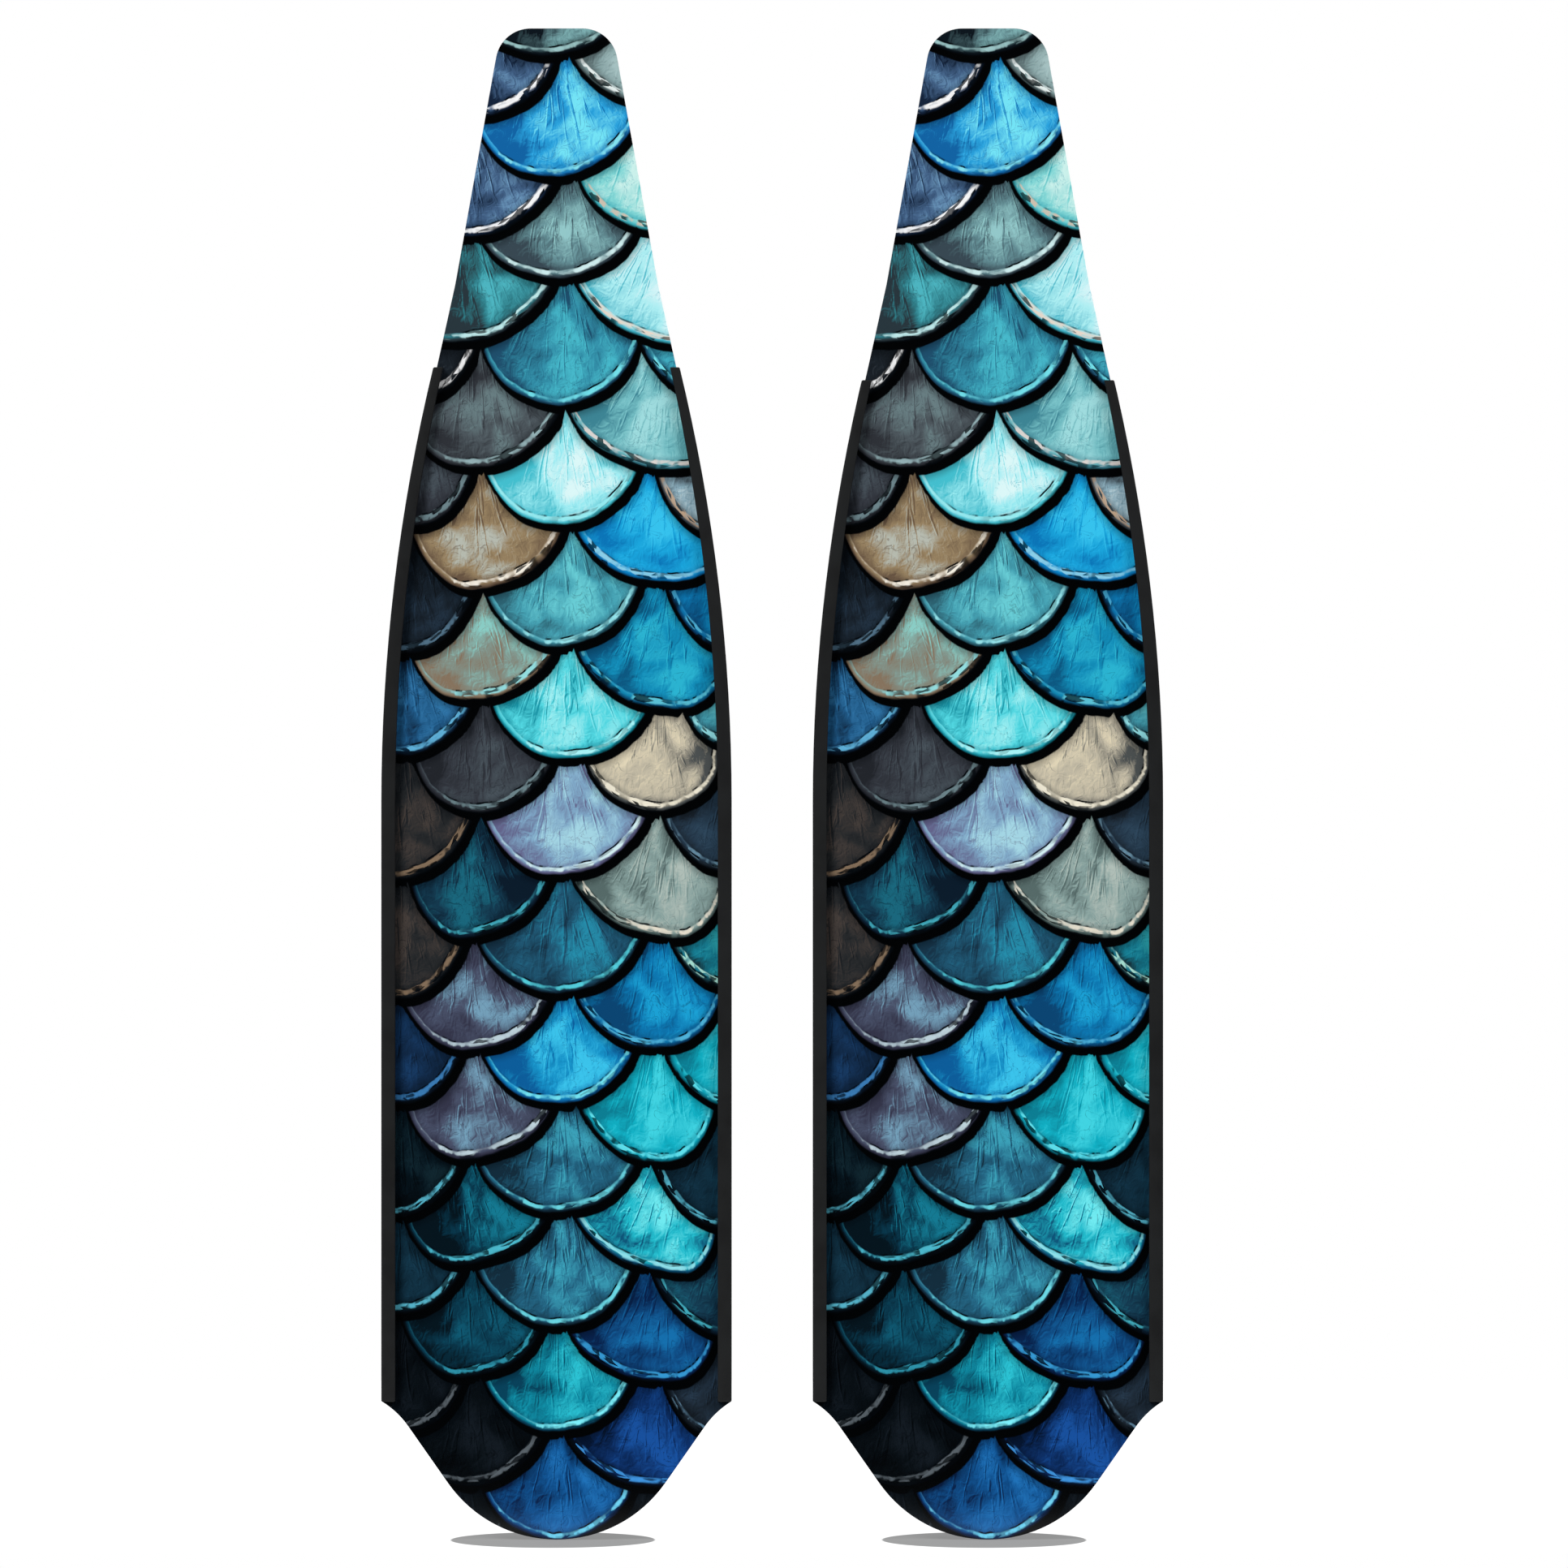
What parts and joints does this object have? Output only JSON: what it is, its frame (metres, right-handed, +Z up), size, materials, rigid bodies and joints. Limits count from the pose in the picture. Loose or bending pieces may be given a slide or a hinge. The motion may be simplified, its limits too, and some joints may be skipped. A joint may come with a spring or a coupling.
{
  "type": "freediving fin blade pair",
  "caption": "Two long laminated fin blades with a round tip, rubber edge rails and a bare tab for a foot pocket, face printed with fish scales.",
  "frame": {"origin": "midway between the two blades, in the middle of their rails' depth, level with the lowest points of the two tips", "axes": "+Z up along the blades from the tips to the tabs, +X to the right across the pair as the printed faces are looked at, +Y from the printed faces to the backs"},
  "size_m": [0.424, 0.011, 0.82],
  "materials": {
    "printed_sheet": "fish-scale print under clear gloss resin",
    "glass_laminate": "black-pigmented glass cloth in epoxy, weave showing through a gloss surface",
    "rubber_rail": "extruded matte black rubber"
  },
  "bodies": {
    "left_fin": {"left_print_film": "printed_sheet", "left_front_ply": "glass_laminate", "left_back_ply": "glass_laminate", "left_short_ply_1": "glass_laminate", "left_short_ply_2": "glass_laminate", "left_short_ply_3": "glass_laminate", "left_short_ply_4": "glass_laminate", "left_tab_doubler": "glass_laminate", "left_outer_rail": "rubber_rail", "left_inner_rail": "rubber_rail"},
    "right_fin": {"right_print_film": "printed_sheet", "right_front_ply": "glass_laminate", "right_back_ply": "glass_laminate", "right_short_ply_1": "glass_laminate", "right_short_ply_2": "glass_laminate", "right_short_ply_3": "glass_laminate", "right_short_ply_4": "glass_laminate", "right_tab_doubler": "glass_laminate", "right_outer_rail": "rubber_rail", "right_inner_rail": "rubber_rail"}
  },
  "joints": [
    {"name": "right_fin_lift", "type": "slide", "parent": "left_fin", "child": "right_fin", "axis": [0, 0, 1], "range_m": [0, 0.9]}
  ]
}
